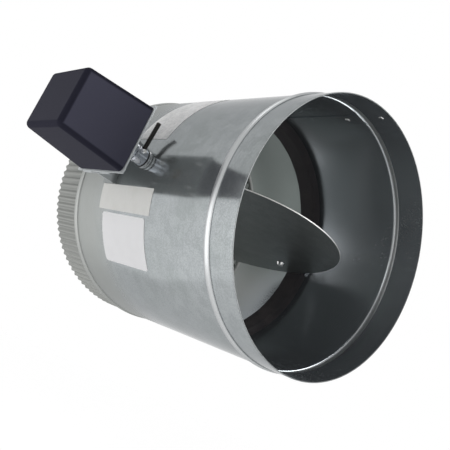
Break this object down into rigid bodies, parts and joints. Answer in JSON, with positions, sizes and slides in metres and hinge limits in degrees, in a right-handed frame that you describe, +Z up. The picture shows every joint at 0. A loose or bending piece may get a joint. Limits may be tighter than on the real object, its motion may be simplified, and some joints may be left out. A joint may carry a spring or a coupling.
{
  "type": "motorized duct damper",
  "caption": "Round galvanised duct damper: a butterfly blade on a cross shaft, sealed by a foam band and turned by a small gearmotor under a black cover.",
  "frame": {"origin": "centre of the open end's rim plane, on the duct axis", "axes": "+X along the duct axis out of the open end, the blade shaft along Y with the motor on the -Y side, +Z up"},
  "size_m": [0.3, 0.3675, 0.2576],
  "materials": {
    "galvanised": "spangled satin",
    "blade_steel": "satin",
    "plated_steel": "bright",
    "shaft_steel": "zinc plated",
    "black_steel": "black oxide",
    "foam": "closed-cell foam, dull",
    "black_plastic": "fine satin",
    "white_plastic": "moulded",
    "green_plastic": "moulded",
    "bronze": "machined",
    "rubber": "dull",
    "label_paper": "matt"
  },
  "bodies": {
    "housing": {"duct_shell": "galvanised", "seam_rivets": "shaft_steel", "seal_band": "foam", "near_bushing": "plated_steel", "far_bushing": "plated_steel", "mounting_bracket": "galvanised", "bracket_screws": "shaft_steel", "cover": "black_plastic", "cover_screws": "shaft_steel", "output_bushing": "bronze", "idler_arbor": "shaft_steel", "gear_plate": "galvanised", "gear_posts": "shaft_steel", "plate_screws": "shaft_steel", "motor_can": "shaft_steel", "motor_screws": "shaft_steel", "limit_switches": "black_plastic", "terminal_block": "green_plastic", "terminal_screws": "shaft_steel", "wire_grommet": "rubber", "narrow_label": "label_paper", "square_label": "label_paper", "upper_label": "label_paper"},
    "blade_assembly": {"blade": "blade_steel", "blade_shaft": "shaft_steel", "blade_screws": "plated_steel", "blade_nuts": "plated_steel", "thrust_washer": "plated_steel", "far_washer": "plated_steel", "retaining_clip": "black_steel", "coupling_collar": "plated_steel", "coupling_nut": "plated_steel", "collar_set_screws": "black_steel", "stop_rod": "black_steel", "drive_shaft": "shaft_steel", "switch_cam": "white_plastic", "output_gear": "white_plastic"},
    "idler": {"idler_gear": "white_plastic"},
    "rotor": {"motor_pinion": "bronze"}
  },
  "joints": [
    {"name": "blade_turn", "type": "hinge", "parent": "housing", "child": "blade_assembly", "pos_m": [-0.145, 0, 0], "axis": [0, 1, 0], "range_deg": [0, 97]},
    {"name": "idler_spin", "type": "hinge", "parent": "housing", "child": "idler", "pos_m": [-0.1657, 0, 0], "axis": [0, 1, 0], "range_deg": [-352, 2]},
    {"name": "rotor_spin", "type": "hinge", "parent": "housing", "child": "rotor", "pos_m": [-0.15297, 0, 0.00735], "axis": [0, 1, 0], "range_deg": [-2, 1122]}
  ],
  "couplings": [
    {"joint": "idler_spin", "follows": "blade_turn", "ratio": -3.6},
    {"joint": "rotor_spin", "follows": "blade_turn", "ratio": 11.52}
  ]
}
